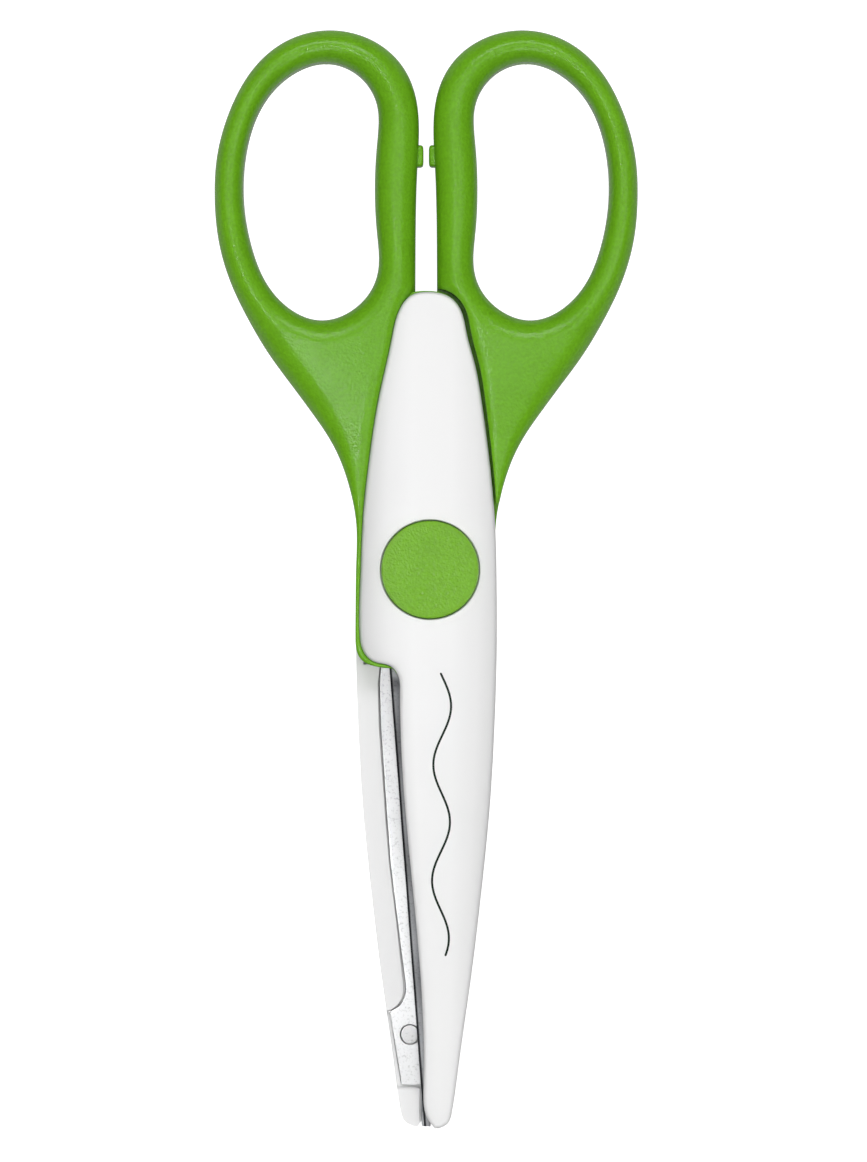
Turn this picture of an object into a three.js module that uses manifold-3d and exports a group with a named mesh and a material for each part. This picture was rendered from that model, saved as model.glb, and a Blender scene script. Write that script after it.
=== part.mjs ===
// Decorative edge scissors with a wave cut, 165 mm long.
//
// Millimetres, +Z up. The scissors lie flat: +Y runs from the pivot to the finger loops, -Y to the tips,
// and the pivot's axis is Z. The origin is on that axis, level with the outer face of the rear pivot cap.
//
// Both halves are made in one local frame, where u is the distance from the mid-plane between the
// blades to the outside. The front half stands as made. The rear half is the same half turned over
// about the Y axis, and its blade's wave is counted the other way, so the two blades nest.

import * as THREE from "three";
import { mergeVertices } from "three/addons/utils/BufferGeometryUtils.js";
import Module from "manifold-3d";

const wasm = await Module();
wasm.setup();

// ---- driving dimensions ----

const HALF_THICKNESS = 6; // mid-plane to the outer face of a pivot cap
const SLIT = 0.15; // mid-plane to the inner face of a tang
const LOOP_HALF = 5.6; // half the thickness of a finger loop
const WEB_HALF = 4.9; // half the thickness of the web near the pivot
const TANG_TOP = 3.4;
const TANG_THIN = 1.2; // the tang's outer face under the blade's root
const SEAM = 0.1; // play between pieces that are fixed together
const COVER_INNER = 1.4; // the cover's inner face beside the blade
const COVER_WALL = 1.1; // the cover's wall round the tang
const CROWN_DROP = 1.2; // from the crown's top line to its sides
const PARTING_Y = 45; // above the top of the cover

const WAVE_HEIGHT = 1.3; // half of the wave's full height
const WAVE_LENGTH = 17.4;
const WAVE_START = 18; // distance from the pivot where the wave begins
const BLADE_GAP = 0.1; // rim to the shared wave surface
const BLADE_THICK = 0.8;
const PLATE_INNER = 1.5; // the flat plate's inner face
const RIM_WIDTH = 1.5;
const RIM_FADE = 1.3; // width over which the rim turns into the plate
const CUT_AT_PIVOT = -6.62; // x of the cutting edge's line level with the pivot
const CUT_SLOPE = -0.0752; // change of that x per millimetre of y
const ROOT_START = 7.5; // distance from the pivot where the blade's root begins
const ROOT_END = 18; // and where the tang under it ends
const TIP_END = 84;

const CAP_X = 0.59; // the cap's centre is a little off the pivot's axis
const CAP_RADIUS = 7.35;
const CAP_INNER = 4.8;
const SEAT_RADIUS = 6.5; // the counterbore under the cap
const SEAT_TOP = 2.6; // outer face of the tang in that counterbore
const SCREW_RADIUS = 1.9;
const HEAD_RADIUS = 3.6;
const SLEEVE_RADIUS = 3;
const FRICTION_RADIUS = 5.1;
const SCREW_END = 4.5; // mid-plane to the screw's far end
const NUT_RADIUS = 3.8; // to the nut's corners
const STUD_RADIUS = 1.45;
const STUD_PLAY = 0.06;
const TIP_STUD = [2.43, -70];
const ROOT_STUDS = [[-1.5, -11.2], [3.4, -10.6]];
const ROUND = 28; // sides of a round piece
const FAR = 9; // beyond every outer face, for cutters

// ---- materials ----

function finish(color, roughness, metalness = 0) {
  return new THREE.MeshStandardMaterial({ color, roughness, metalness });
}

const green = finish(0x6eb02b, 0.45);
const white = finish(0xf0f0f0, 0.35);
const steel = finish(0xcfd1d3, 0.3, 1);
const studGrey = finish(0xdcdcdc, 0.4);
const hardware = finish(0xb4b6b8, 0.35, 1);
const nylon = finish(0xe9e6dc, 0.6);

// ---- outlines, as x and y in the local frame ----

// A smooth line through points.
function smooth(points, steps = 4) {
  const curve = new THREE.SplineCurve(points.map(([x, y]) => new THREE.Vector2(x, y)));
  return curve.getPoints((points.length - 1) * steps);
}

function vectors(points) {
  return points.map(([x, y]) => new THREE.Vector2(x, y));
}

// The cover's long right edge, from its top between the loops to the tip.
const coverRight = smooth([
  [0.6, 41.6], [3.2, 41.0], [4.9, 39.4], [6.1, 35.3], [7.3, 30.8], [8.35, 25], [9.7, 14.5], [10.35, 6],
  [10.52, -3], [10.5, -13], [10.2, -24], [9.55, -35.5], [8.3, -48.2], [6.7, -61.5], [5, -73.5], [3.95, -81],
  [3.1, -83.2], [1.9, -83.8],
], 2);

// The cover's left edge, from the tip along the blade, round the shoulder and up beside the web.
const coverLeft = smooth([
  [1.2, -83.7], [0.35, -82.6], [-0.4, -77.5], [-2.4, -44], [-3.9, -18.5], [-4.3, -15.5], [-5.4, -14.2],
  [-7.6, -13.6], [-9.2, -12.2], [-9.85, -9.5], [-9.75, -1], [-9.35, 8.2], [-8.55, 16], [-7.05, 26],
  [-5.2, 34.4], [-3.8, 39.3], [-2.2, 41.1],
], 2);

// The line inside the cover's wall, from its top to the shoulder, where the tang or the room for it ends.
function insideWall(inset) {
  const right = coverRight.filter((p) => p.y > -14);
  const inner = right.map((p) => new THREE.Vector2(p.x - inset, Math.min(p.y, 41.5 - inset)));
  return [...inner, new THREE.Vector2(9, -14.9)];
}

// The tang's left rim, which shows beside the cover, from the shoulder up to the web.
const tangRim = smooth([
  [-4.3, -14.9], [-5.4, -14.8], [-8, -14.3], [-9.7, -13.2], [-10.5, -11], [-10.5, -1], [-10.3, 5.2],
  [-10.4, 8.5],
], 3);

function tangOutline() {
  return [...insideWall(COVER_WALL + 0.3), ...tangRim, ...vectors([[-9.6, 14], [-8.4, 26], [-5, 38]])];
}

// Finger loop and web, at full thickness, before the cover and the other half are cut out.
function handleOutline() {
  const outer = smooth([
    [-10.9, 9.9], [-12.1, 14.4], [-14, 18.8], [-17, 23.3], [-20.3, 27.8], [-23.6, 32.3],
    [-26.3, 36.8], [-28.6, 41.3], [-30.3, 45.8], [-31.4, 50.8], [-31.75, 56], [-31.55, 61], [-30.5, 66],
    [-28.75, 70.6], [-26, 75.15], [-21.8, 78.9], [-14.9, 80.95], [-8.4, 79.6], [-4.1, 76.3], [-2.06, 72.7],
    [-1.3, 69.6], [-1.08, 65.8], [-1.35, 60], [-1.6, 48], [-1.7, 42],
  ], 2);
  return [...outer, ...vectors([[-1.9, 20], [-4.6, 9.5]])];
}

function fingerHole() {
  return smooth([
    [-15.2, 76.2], [-19.4, 74.95], [-22.5, 72.6], [-24.9, 69.3], [-26.65, 64.6], [-27.45, 59],
    [-27.3, 53.9], [-26.2, 48.4], [-24, 43.05], [-20.5, 39.2], [-15.7, 37.4], [-11.2, 38.9], [-8.4, 41.7],
    [-7.15, 45.2], [-7.62, 53.2], [-7.7, 58.2], [-7.15, 67.6], [-7.65, 70.8], [-9.2, 73.4], [-11.8, 75.4],
    [-15.2, 76.2],
  ], 2).slice(0, -1);
}

// ---- blade edges ----

// The straight cutting edge.
function cuttingX(y) {
  return CUT_AT_PIVOT + CUT_SLOPE * y;
}

// The plate's back edge, as x at each distance from the pivot. The plate widens round the tip stud and
// ends there, and only a narrow cutting strip runs on to the tip.
const backEdge = [
  [ROOT_START, 5.5], [12, 6.4], [18, 7.1], [24, 6.95], [31, 6.45], [38, 5.95], [45, 5.35], [51, 4.6],
  [58, 3.85], [62.2, 3.3], [64.2, 3.4], [65.6, 4.2], [66.6, 5.6], [72, 4.95], [77.6, 4.1], [77.9, 0.65],
  [82, 0.75], [TIP_END, 0.65],
];

// Distances from the pivot where the blade has a row of points. Both blades share them, so that the
// facets of their rims match at every opening angle.
function bladeRows() {
  const rows = [ROOT_START, 11, 14.5, 16.2];
  for (let r = 17.4; r < 64.5; r += 1.45) rows.push(r);
  return [...rows, 65.3, 65.9, 66.6, 68, 69.4, 70.8, 72.2, 73.6, 75, 76.4, 77.6, 77.9, 79.4, 80.9, 82.4,
    83.8];
}

function along(table, r) {
  const i = Math.max(1, table.findIndex(([at]) => at >= r));
  const [r0, x0] = table[i - 1];
  const [r1, x1] = table[i];
  return x0 + ((x1 - x0) * (r - r0)) / (r1 - r0);
}

// Height of the shared wave above the mid-plane of the whole scissors.
function wave(r) {
  return r < WAVE_START ? 0 : WAVE_HEIGHT * Math.sin((2 * Math.PI * (r - WAVE_START)) / WAVE_LENGTH);
}

// ---- solids ----

function solid(geometry) {
  const bare = geometry.index ? geometry.toNonIndexed() : geometry.clone();
  const only = new THREE.BufferGeometry().setAttribute("position", bare.getAttribute("position"));
  const merged = mergeVertices(only, 1e-4);
  const made = (flip) => {
    const triVerts = new Uint32Array(merged.index.array);
    if (flip) {
      for (let i = 0; i < triVerts.length; i += 3)
        [triVerts[i + 1], triVerts[i + 2]] = [triVerts[i + 2], triVerts[i + 1]];
    }
    const vertProperties = merged.attributes.position.array;
    return new wasm.Manifold(new wasm.Mesh({ numProp: 3, vertProperties, triVerts }));
  };
  const first = made(false);
  return first.volume() < 0 ? made(true) : first;
}

function geometryOf(manifold) {
  const { vertProperties, triVerts } = manifold.getMesh();
  return new THREE.BufferGeometry()
    .setAttribute("position", new THREE.BufferAttribute(vertProperties, 3))
    .setIndex(new THREE.BufferAttribute(triVerts, 1))
    .toNonIndexed();
}

// The solid inside a list of four-cornered faces.
function solidOfFaces(faces) {
  const corners = faces.flatMap(([a, b, c, d]) => [...a, ...b, ...c, ...a, ...c, ...d]);
  const geometry = new THREE.BufferGeometry();
  return solid(geometry.setAttribute("position", new THREE.Float32BufferAttribute(corners, 3)));
}

// A straight prism on an outline, from u = low to u = high.
function prism(outline, low, high) {
  const geometry = new THREE.ExtrudeGeometry(new THREE.Shape(outline), {
    depth: high - low,
    bevelEnabled: false,
  });
  return solid(geometry.translate(0, 0, low));
}

// A prism with rounded edges, and a hole through it.
function roundedPlate(outline, hole, half, round) {
  const shape = new THREE.Shape(outline);
  shape.holes.push(new THREE.Path(hole));
  const geometry = new THREE.ExtrudeGeometry(shape, {
    depth: 2 * (half - round),
    bevelThickness: round,
    bevelSize: round * 0.8,
    bevelOffset: -round * 0.8,
    bevelSegments: 2,
  });
  return solid(geometry.translate(0, 0, round - half));
}

// A round piece about the u axis through (x, y), from its profile of [radius, u] points.
function turned(profile, x = 0, y = 0, sides = ROUND) {
  const points = profile.map(([r, u]) => new THREE.Vector2(r, u));
  return solid(new THREE.LatheGeometry(points, sides).rotateX(Math.PI / 2).translate(x, y, 0));
}

function disc(radius, low, high, x = 0, y = 0, sides = ROUND) {
  return turned([[0, low], [radius, low], [radius, high], [0, high]], x, y, sides);
}

function ring(inner, outer, low, high, x = 0, y = 0) {
  return turned([[inner, low], [outer, low], [outer, high], [inner, high], [inner, low]], x, y);
}

// The closed solid between two grids of points: lower(i, j) and upper(i, j) return [x, y, u].
function between(rows, columns, lower, upper) {
  const faces = [];
  for (let i = 0; i + 1 < rows; i++) {
    for (let j = 0; j + 1 < columns; j++) {
      faces.push([lower(i, j), lower(i + 1, j), lower(i + 1, j + 1), lower(i, j + 1)]);
      faces.push([upper(i, j), upper(i, j + 1), upper(i + 1, j + 1), upper(i + 1, j)]);
    }
    for (const [j, turn] of [[0, false], [columns - 1, true]]) {
      const side = [lower(i, j), upper(i, j), upper(i + 1, j), lower(i + 1, j)];
      faces.push(turn ? side.reverse() : side);
    }
  }
  for (let j = 0; j + 1 < columns; j++) {
    for (const [i, turn] of [[0, true], [rows - 1, false]]) {
      const end = [lower(i, j), upper(i, j), upper(i, j + 1), lower(i, j + 1)];
      faces.push(turn ? end.reverse() : end);
    }
  }
  return solidOfFaces(faces);
}

function named(name, manifold, material) {
  const mesh = new THREE.Mesh(geometryOf(manifold), material);
  mesh.name = name;
  return mesh;
}

// ---- the two halves ----

// The cover's crowned outside: highest along a line a little right of the pivot, lower to both sides,
// and lower again towards the tip.
function crown() {
  const rows = 20;
  const across = [-16, -11, -7.5, -4, 0, 4, 7.5, 11, 16];
  const at = (i) => PARTING_Y - (132 * i) / (rows - 1);
  const height = (x, y) => {
    const towardsTip = THREE.MathUtils.smoothstep(-y, 5, 85);
    const centre = 0.7 + 1.2 * towardsTip;
    const reach = 10.5 - 4.5 * towardsTip;
    return 5.5 - 1.9 * towardsTip - CROWN_DROP * ((x - centre) / reach) ** 2;
  };
  return between(
    rows,
    across.length,
    (i, j) => [across[j], at(i), -1],
    (i, j) => [across[j], at(i), Math.max(0.5, height(across[j], at(i)))],
  );
}

// The outline moved outwards, by more and more towards the top, for the other half's swing.
function clearance(outline, base, perHeight) {
  const turning = THREE.ShapeUtils.isClockWise(outline) ? 1 : -1;
  return outline.map((p, i) => {
    const before = outline[(i + outline.length - 1) % outline.length];
    const after = outline[(i + 1) % outline.length];
    const direction = new THREE.Vector2().subVectors(after, before).normalize();
    const distance = turning * (base + perHeight * Math.max(0, p.y));
    return new THREE.Vector2(p.x - direction.y * distance, p.y + direction.x * distance);
  });
}

function mirrored(outline) {
  return outline.map((p) => new THREE.Vector2(-p.x, p.y)).reverse();
}

const coverOutline = [...coverRight, ...coverLeft];

// Thins the handle from the loops towards the pivot.
function handleTaper() {
  const stations = [-20, 14, 20, 27, 34, 41, 48, 90];
  const half = (y) => {
    const rise = THREE.MathUtils.smoothstep(y, 14, 48);
    return WEB_HALF + (LOOP_HALF - WEB_HALF) * rise;
  };
  return between(
    stations.length,
    2,
    (i, j) => [j ? 20 : -40, stations[i], -half(stations[i])],
    (i, j) => [j ? 20 : -40, stations[i], half(stations[i])],
  );
}

// The bump inside the loop that meets the other half's bump when the scissors are shut.
function closingStop() {
  const bump = vectors([
    [-2.2, 60.9], [-0.65, 60.9], [-0.4, 61.2], [-0.4, 63.2], [-0.65, 63.5], [-2.2, 63.5],
  ]);
  return prism(bump, -2, 2);
}

function handle() {
  const coverSeat = prism(clearance(coverOutline, SEAM, 0), TANG_TOP, FAR);
  const otherHalf = prism(clearance(mirrored(coverOutline), 0.35, 0.014), -FAR, SLIT);
  const loop = roundedPlate(handleOutline(), fingerHole(), LOOP_HALF, 1.8)
    .intersect(handleTaper())
    .subtract(coverSeat)
    .subtract(otherHalf);
  return loop
    .add(prism(tangOutline(), SLIT, TANG_TOP))
    .add(closingStop())
    .subtract(disc(SLEEVE_RADIUS + 0.08, -1, FAR))
    .subtract(disc(FRICTION_RADIUS + 0.2, -1, 0.35))
    .subtract(disc(SEAT_RADIUS, SEAT_TOP, FAR))
    .subtract(prism(clearance(bladeOutline(ROOT_START, ROOT_END), 0.25, 0), TANG_THIN, FAR));
}

// The plate's outline between two distances from the pivot.
function bladeOutline(from, to) {
  const rows = bladeRows().filter((r) => r >= from - 1e-6 && r <= to + 1e-6);
  const point = (r, x) => new THREE.Vector2(x, -Math.sqrt(r * r - x * x));
  const front = rows.map((r) => point(r, cuttingEdgeX(r)));
  const back = rows.map((r) => point(r, along(backEdge, r)));
  return [...front, ...back.reverse()];
}

// x of the cutting edge at distance r from the pivot: where the straight edge crosses that circle.
function cuttingEdgeX(r) {
  const half = CUT_AT_PIVOT * CUT_SLOPE;
  const square = 1 + CUT_SLOPE ** 2;
  const y = (-half - Math.sqrt(half ** 2 - square * (CUT_AT_PIVOT ** 2 - r ** 2))) / square;
  return cuttingX(y);
}

// The blade: a flat plate whose cutting edge is a rim that follows the shared wave.
function blade(waveSign) {
  const rows = bladeRows();
  const across = [0, 0.12, 0.24, 0.36, 0.5, 1];
  const inner = (r, across01, width) => {
    const rimmed = 1 - THREE.MathUtils.smoothstep(across01 * width, RIM_WIDTH, RIM_WIDTH + RIM_FADE);
    const begun = THREE.MathUtils.smoothstep(r, 16.2, 19.6);
    const rim = waveSign * wave(r) + BLADE_GAP;
    return PLATE_INNER + rimmed * begun * (rim - PLATE_INNER);
  };
  const point = (i, j, extra) => {
    const r = rows[i];
    const left = cuttingEdgeX(r);
    const width = along(backEdge, r) - left;
    const x = left + across[j] * width;
    return [x, -Math.sqrt(r * r - x * x), inner(r, across[j], width) + extra];
  };
  return between(
    rows.length,
    across.length,
    (i, j) => point(i, j, 0),
    (i, j) => point(i, j, BLADE_THICK),
  );
}

// Studs pin the plate to the cover: one near the tip and two at the root.
function stud([x, y], low, high, play = 0) {
  return disc(STUD_RADIUS + play, low, high, x, y, 20);
}

// The piece with holes for some of the studs.
function drilled(piece, studs, high) {
  return studs.reduce((body, at) => body.subtract(stud(at, -1, high, STUD_PLAY)), piece);
}

function cover() {
  const openLeft = vectors([[-4, -15.1], [-12, -15.1], [-12, PARTING_Y], [-1.2, PARTING_Y], [-1.2, 40.3]]);
  const tangRoom = prism([...insideWall(COVER_WALL), ...openLeft], -1, TANG_TOP + SEAM);
  const underPlate = PLATE_INNER + BLADE_THICK + SEAM;
  const bladeRoom = prism(clearance(bladeOutline(ROOT_START, TIP_END), 0.12, 0), -1, underPlate);
  const openSide = prism(vectors([[3, -66.2], [8, -66.2], [8, -77.7], [3, -77.7]]), -1, underPlate);
  const rimRoom = prism(vectors([[-7, -14], [-2, -14], [0.6, -84], [-3, -84]]), -1, 2.45);
  return prism(coverOutline, COVER_INNER, 8)
    .intersect(crown())
    .subtract(tangRoom)
    .subtract(bladeRoom)
    .subtract(openSide)
    .subtract(rimRoom)
    .subtract(disc(SEAT_RADIUS, -1, FAR, CAP_X, 0))
    .subtract(disc(CAP_RADIUS + SEAM, CAP_INNER - SEAM, FAR, CAP_X, 0));
}

// The snap-in cap over the pivot, with a short ring that holds it in the cover.
function pivotCap() {
  return turned([
    [0, CAP_INNER], [5.5, CAP_INNER], [5.5, 3.6], [6.3, 3.6], [6.3, CAP_INNER], [CAP_RADIUS, CAP_INNER],
    [CAP_RADIUS, HALF_THICKNESS - 0.25], [CAP_RADIUS - 0.25, HALF_THICKNESS], [0, HALF_THICKNESS],
  ], CAP_X, 0);
}

function half(side, waveSign) {
  const group = new THREE.Group();
  group.add(
    named(side + "_handle", drilled(handle(), ROOT_STUDS, FAR), green),
    named(side + "_cover", drilled(drilled(cover(), [TIP_STUD], 3.4), ROOT_STUDS, 4), white),
    named(side + "_blade", drilled(blade(waveSign), [TIP_STUD, ...ROOT_STUDS], FAR), steel),
    named(side + "_tip_stud", stud(TIP_STUD, 1.38, 3.3), studGrey),
    named(side + "_pivot_cap", pivotCap(), green),
  );
  ROOT_STUDS.forEach((at, i) => {
    group.add(named(side + "_root_stud_" + (i + 1), stud(at, 0.4, 3.9), studGrey));
  });
  return group;
}

// ---- the pivot ----

function pivotScrew() {
  const shank = turned([
    [0, -SCREW_END], [SCREW_RADIUS, -SCREW_END], [SCREW_RADIUS, 3.3], [HEAD_RADIUS, 3.3],
    [HEAD_RADIUS, 4.2], [HEAD_RADIUS - 0.4, 4.6], [0, 4.6],
  ]);
  const slot = new THREE.BoxGeometry(9, 0.8, 1.2).translate(0, 0, 4.7);
  return shank.subtract(solid(slot));
}

function pivotNut() {
  const corners = [];
  for (let i = 0; i < 6; i++) {
    const angle = (i * Math.PI) / 3;
    corners.push(new THREE.Vector2(NUT_RADIUS * Math.cos(angle), NUT_RADIUS * Math.sin(angle)));
  }
  return prism(corners, -4.6, -3.45).subtract(disc(SCREW_RADIUS + 0.05, -FAR, FAR));
}

// A washer pressed into three low waves, so that it acts as a spring under the nut.
function springWasher() {
  const steps = 36;
  const point = (i, j, extra) => {
    const angle = (i * 2 * Math.PI) / steps;
    const radius = j ? 4.6 : 2.2;
    const lift = 0.12 * Math.cos(3 * angle);
    return [radius * Math.cos(angle), radius * Math.sin(angle), -3.05 + lift + extra];
  };
  const corners = [[0, -0.2], [0, 0.2], [1, 0.2], [1, -0.2]];
  const faces = [];
  for (let i = 0; i < steps; i++) {
    const next = (i + 1) % steps;
    corners.forEach((from, k) => {
      const to = corners[(k + 1) % corners.length];
      faces.push([point(i, ...from), point(i, ...to), point(next, ...to), point(next, ...from)]);
    });
  }
  return solidOfFaces(faces);
}

function pivot() {
  const group = new THREE.Group();
  group.add(
    named("pivot_screw", pivotScrew(), hardware),
    named("pivot_nut", pivotNut(), hardware),
    named("pivot_sleeve", ring(SCREW_RADIUS + 0.1, SLEEVE_RADIUS, -2.5, 2.5), hardware),
    named("head_washer", ring(SCREW_RADIUS + 0.2, 5, 2.7, 3.2), hardware),
    named("spring_washer", springWasher(), hardware),
    named("friction_washer", ring(SLEEVE_RADIUS + 0.1, FRICTION_RADIUS, -0.25, 0.25), nylon),
  );
  return group;
}

// ---- the scissors ----

const scissors = new THREE.Group();
const frontHalf = half("front", 1);
const rearHalf = half("rear", -1);
rearHalf.rotation.y = Math.PI;
for (const group of [frontHalf, rearHalf, pivot()]) {
  group.position.z = HALF_THICKNESS;
  scissors.add(group);
}

export default scissors;
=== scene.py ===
import math

import bmesh
import bpy
import numpy as np
from bpy.props import FloatProperty, FloatVectorProperty, PointerProperty
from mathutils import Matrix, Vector


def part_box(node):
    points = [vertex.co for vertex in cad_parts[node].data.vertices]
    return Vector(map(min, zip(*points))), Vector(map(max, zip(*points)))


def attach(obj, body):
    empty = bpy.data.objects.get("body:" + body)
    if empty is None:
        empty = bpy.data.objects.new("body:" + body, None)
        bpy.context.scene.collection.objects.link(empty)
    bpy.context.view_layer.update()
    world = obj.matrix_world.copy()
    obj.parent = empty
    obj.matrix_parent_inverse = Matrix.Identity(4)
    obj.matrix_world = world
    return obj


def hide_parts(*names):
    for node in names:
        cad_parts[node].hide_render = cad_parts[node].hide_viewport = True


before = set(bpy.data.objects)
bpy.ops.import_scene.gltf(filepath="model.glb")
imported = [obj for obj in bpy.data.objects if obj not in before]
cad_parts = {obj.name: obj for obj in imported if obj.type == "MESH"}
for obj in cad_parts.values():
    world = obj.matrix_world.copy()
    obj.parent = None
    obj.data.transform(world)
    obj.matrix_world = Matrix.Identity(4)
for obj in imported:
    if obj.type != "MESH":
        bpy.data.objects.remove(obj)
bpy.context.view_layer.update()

bl_info = {
    "name": "Wave edge scissors",
    "version": (1, 0, 0),
    "blender": (4, 5, 0),
    "location": "3D View > Sidebar > Scissors",
    "description": "Builds craft scissors with wavy blades, crowned covers and oval finger loops",
    "category": "Add Mesh",
}

# Both halves are worked out in one local frame, in millimetres: x and y as on the front half, and u,
# the distance from the mid-plane between the blades to the outside. The front half stands as made,
# and the rear half is the same half turned over about the Y axis.

MM = 0.001
MID_PLANE = (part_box("front_pivot_cap")[1][2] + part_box("rear_pivot_cap")[0][2]) / 2 / MM
SIDES = ("front", "rear")
# The rear half is turned over, so its x and u point the other way. Its wave is counted the other way
# too, so that the two blades nest.
TURN = {"front": 1, "rear": -1}

# ---- outlines, as x and y ----

RIM_LINE = [
    (-4.3, -14.75), (-5.6, -14.75), (-8.0, -14.4), (-9.6, -13.6), (-10.4, -12.2), (-10.6, -10.2),
    (-10.58, -5.5), (-10.5, 0.5), (-10.4, 5.2), (-10.6, 8.0), (-10.98, 10.1), (-12.15, 14.4),
]
LOOP_LINE = [
    (-14.0, 18.75), (-17.0, 23.3), (-20.3, 27.8), (-23.6, 32.3), (-26.3, 36.8), (-28.6, 41.3),
    (-30.3, 45.8), (-31.4, 50.8), (-31.75, 56.0), (-31.55, 61.0), (-30.5, 66.0), (-28.75, 70.6),
    (-26.0, 75.15), (-21.0, 79.35), (-14.9, 80.95), (-8.6, 79.7), (-4.1, 76.3), (-2.06, 72.7),
    (-1.3, 69.6), (-1.08, 65.8), (-1.35, 60.0), (-1.53, 54.0), (-1.6, 48.0), (-1.62, 42.0),
    (-1.7, 34.0),
]
HOLE_LINE = [
    (-15.2, 76.2), (-19.4, 74.95), (-22.5, 72.6), (-24.9, 69.3), (-26.65, 64.6), (-27.45, 59.0),
    (-27.3, 53.9), (-26.2, 48.4), (-24.0, 43.05), (-20.5, 39.2), (-15.7, 37.4), (-11.2, 38.9),
    (-8.4, 41.7), (-7.15, 45.2), (-7.25, 48.8), (-7.62, 53.2), (-7.7, 58.2), (-7.45, 63.4),
    (-7.15, 67.6), (-7.65, 70.8), (-9.2, 73.4), (-11.8, 75.4),
]
COVER_RIGHT = [
    (0.6, 41.6), (3.2, 41.0), (4.9, 39.4), (6.1, 35.3), (7.3, 30.8), (8.35, 25.0), (9.7, 14.5),
    (10.37, 6.0), (10.58, -3.0), (10.57, -13.0), (10.22, -24.0), (9.55, -35.5), (8.3, -48.2),
    (6.7, -61.5), (5.0, -73.5), (3.95, -81.0), (3.1, -83.2), (1.9, -83.8),
]
COVER_LEFT = [
    (1.2, -83.7), (0.35, -82.6), (-0.4, -77.5), (-2.4, -44.0), (-3.9, -18.5), (-4.32, -15.6),
    (-5.4, -14.42), (-7.7, -13.85), (-9.3, -12.45), (-9.97, -9.5), (-9.85, -1.0), (-9.45, 8.2),
    (-8.6, 16.0), (-7.05, 26.0), (-5.2, 34.4), (-3.8, 39.3), (-2.2, 41.1), (0.6, 41.6),
]
# The plate's back edge: x at each distance from the pivot.
BACK_EDGE = [
    (7.5, 5.5), (12.0, 6.4), (18.0, 7.1), (24.0, 6.95), (31.0, 6.45), (38.0, 5.95), (45.0, 5.35),
    (51.0, 4.6), (58.0, 3.78), (60.4, 3.45), (62.2, 3.2), (63.5, 3.14), (64.4, 3.3), (65.1, 3.58),
    (65.7, 3.98), (66.2, 4.55), (66.6, 5.2), (66.75, 5.55), (72.0, 4.72), (77.55, 3.8), (77.65, 0.65),
    (82.0, 0.75), (84.0, 0.65),
]

# ---- places and clearances ----

HOLE_MIDDLE = np.array([-17.0, 57.0])
TIP_STUD = (2.43, -70.0)
CAP_X = 0.59
# Half of the gap between the two tangs
SLIT = 0.15
# The cover stands this far off the handle beside it, and the other half's pocket this far off the
# cover, with a little more for each millimetre up from the pivot.
SEAM_GAP = 0.08
POCKET_GAP, POCKET_GROWTH = 0.25, 0.0105
# The cover's ends, and the places along it where its inside changes: the end of the tang's room, the
# start of the open side by the plate's tip, and the solid nose.
COVER_TOP, COVER_TIP = 41.6, -83.8
TANG_END, OPEN_START, NOSE_START = -14.3, -66.3, -77.95
# The crown of the cover: its height and how far it sinks towards the tip, the drop at its sides, its
# top line's x and shift, and its half width and narrowing.
CROWN_TOP, CROWN_SINK, CROWN_DROP = 5.5, 1.9, 1.2
CROWN_X, CROWN_SHIFT = 0.7, 1.2
CROWN_HALF, CROWN_NARROWING = 10.5, 4.5
# The straight cutting edge: its x beside the pivot, and the change of x for each millimetre of y.
CUT_AT_PIVOT = -6.62
CUT_SLOPE = -0.0752
# Distances from the pivot between which the flat root grows its wavy rim, and where the wave starts
RIM_START = (16.2, 19.6)
WAVE_START = 18.0
# Radius of the rounding on the narrow rim's outer edge
RIM_ROUND = 0.4
# Edges sharper than this many degrees stay sharp.
SHARP_ANGLE = 32
# Distance between the points of a smooth outline
LINE_STEP = 0.1


# ---- settings ----

class ScissorSizes(bpy.types.PropertyGroup):
    """Sizes of the moulded and stamped pieces."""

    loop_half: FloatProperty(
        name="Loop half thickness", description="Mid-plane to the crown of a finger loop",
        default=5.6 * MM, unit="LENGTH")
    web_half: FloatProperty(
        name="Web half thickness", description="Mid-plane to the face of the web near the pivot",
        default=4.9 * MM, unit="LENGTH")
    rim_half: FloatProperty(
        name="Rim height", description="Mid-plane to the top of the narrow rim beside the cover",
        default=4.15 * MM, unit="LENGTH")
    loop_round: FloatProperty(
        name="Loop rounding", description="Radius of the finger loops' edges",
        default=3.6 * MM, unit="LENGTH")
    cap_radius: FloatProperty(
        name="Pivot cap radius", description="Radius of the round cap over the pivot",
        default=7.4 * MM, unit="LENGTH")
    wave_height: FloatProperty(
        name="Wave height", description="Half of the full height of the cutting wave",
        default=1.3 * MM, unit="LENGTH")
    wave_length: FloatProperty(
        name="Wave length", description="Length of one wave along the blade",
        default=17.4 * MM, unit="LENGTH")
    blade_thick: FloatProperty(
        name="Blade thickness", description="Thickness of the steel strip",
        default=0.8 * MM, unit="LENGTH")


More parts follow.
